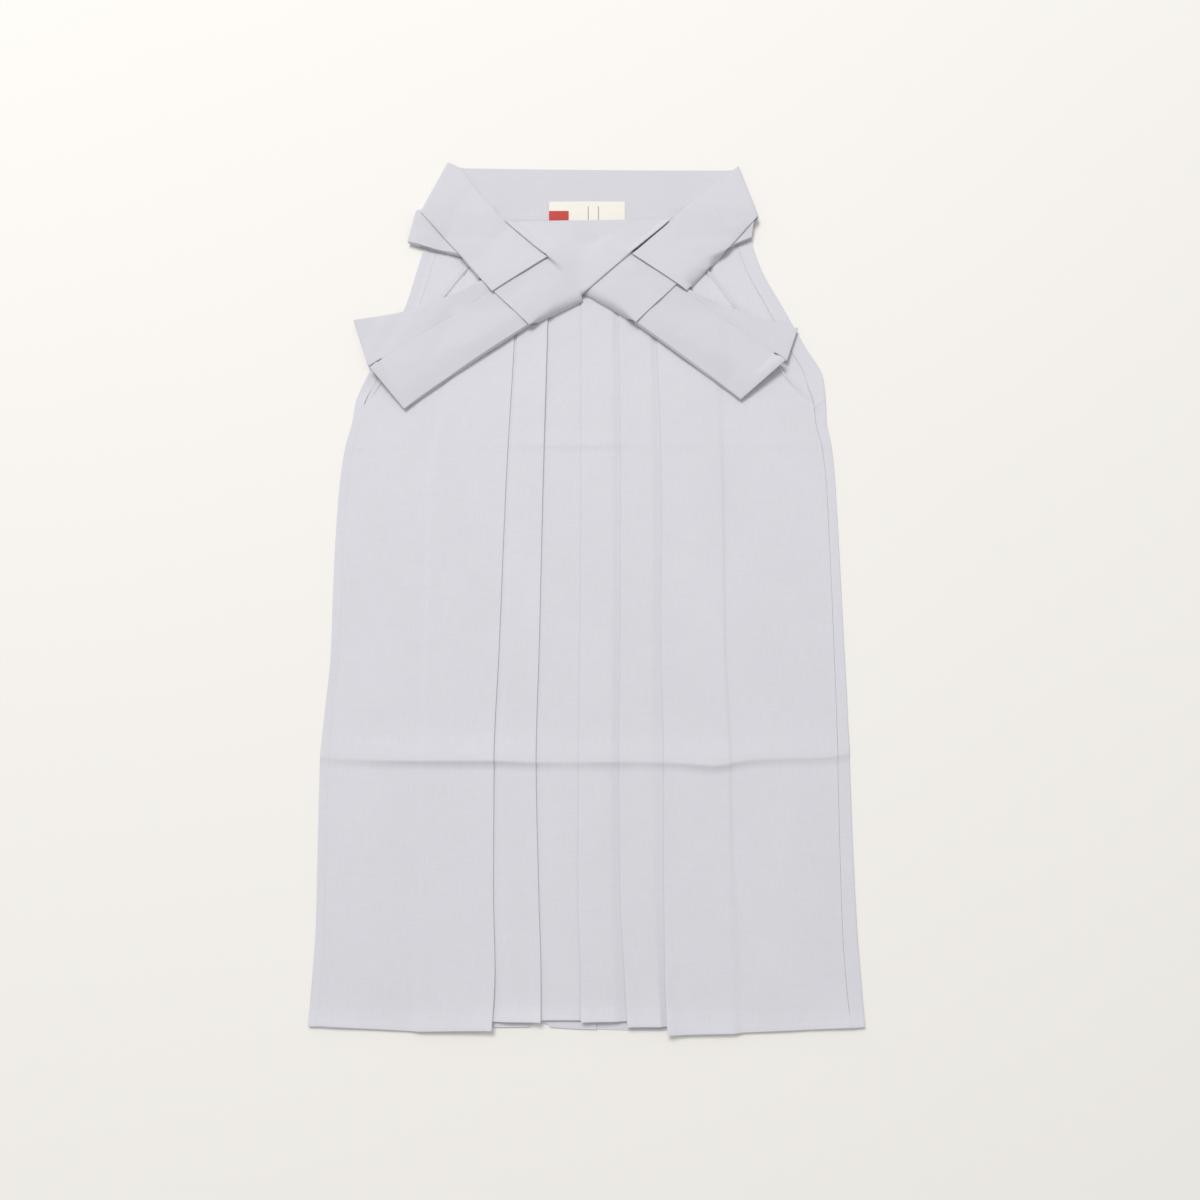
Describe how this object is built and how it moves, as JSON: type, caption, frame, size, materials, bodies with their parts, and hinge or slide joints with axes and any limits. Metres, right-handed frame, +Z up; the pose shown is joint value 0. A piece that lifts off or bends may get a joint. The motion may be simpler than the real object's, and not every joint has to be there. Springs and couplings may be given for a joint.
{
  "type": "hakama trousers",
  "caption": "Women's divided hakama trousers laid flat on their back, with knife-pleated front, long hem, waistbands and tie ends folded flat into a cross below the waist",
  "frame": {"origin": "On the surface that the garment lies on, at the centre of its box seen from above", "axes": "+X across the garment to the viewer's right, +Y from the hem to the waist, +Z up, out of the front of the garment"},
  "size_m": [0.595, 0.9888, 0.0251],
  "materials": {
    "leg_cloth": "matt plain weave, pale grey-lavender",
    "tie_cloth": "matt plain weave, pale grey-lavender, pressed flat",
    "label": "matt cream woven tape with a plain red block"
  },
  "bodies": {
    "root": {"back_left": "leg_cloth", "back_right": "leg_cloth", "front_left": "leg_cloth", "front_right": "leg_cloth", "back_waistband": "tie_cloth", "front_waistband": "tie_cloth", "side_loop_left": "tie_cloth", "side_loop_right": "tie_cloth", "left_arm_under": "tie_cloth", "left_arm_over": "tie_cloth", "right_arm_under": "tie_cloth", "right_arm_over": "tie_cloth", "back_tie_left": "tie_cloth", "back_tie_right": "tie_cloth", "wrap_right": "tie_cloth", "wrap_centre": "tie_cloth", "label": "label"}
  },
  "joints": []
}
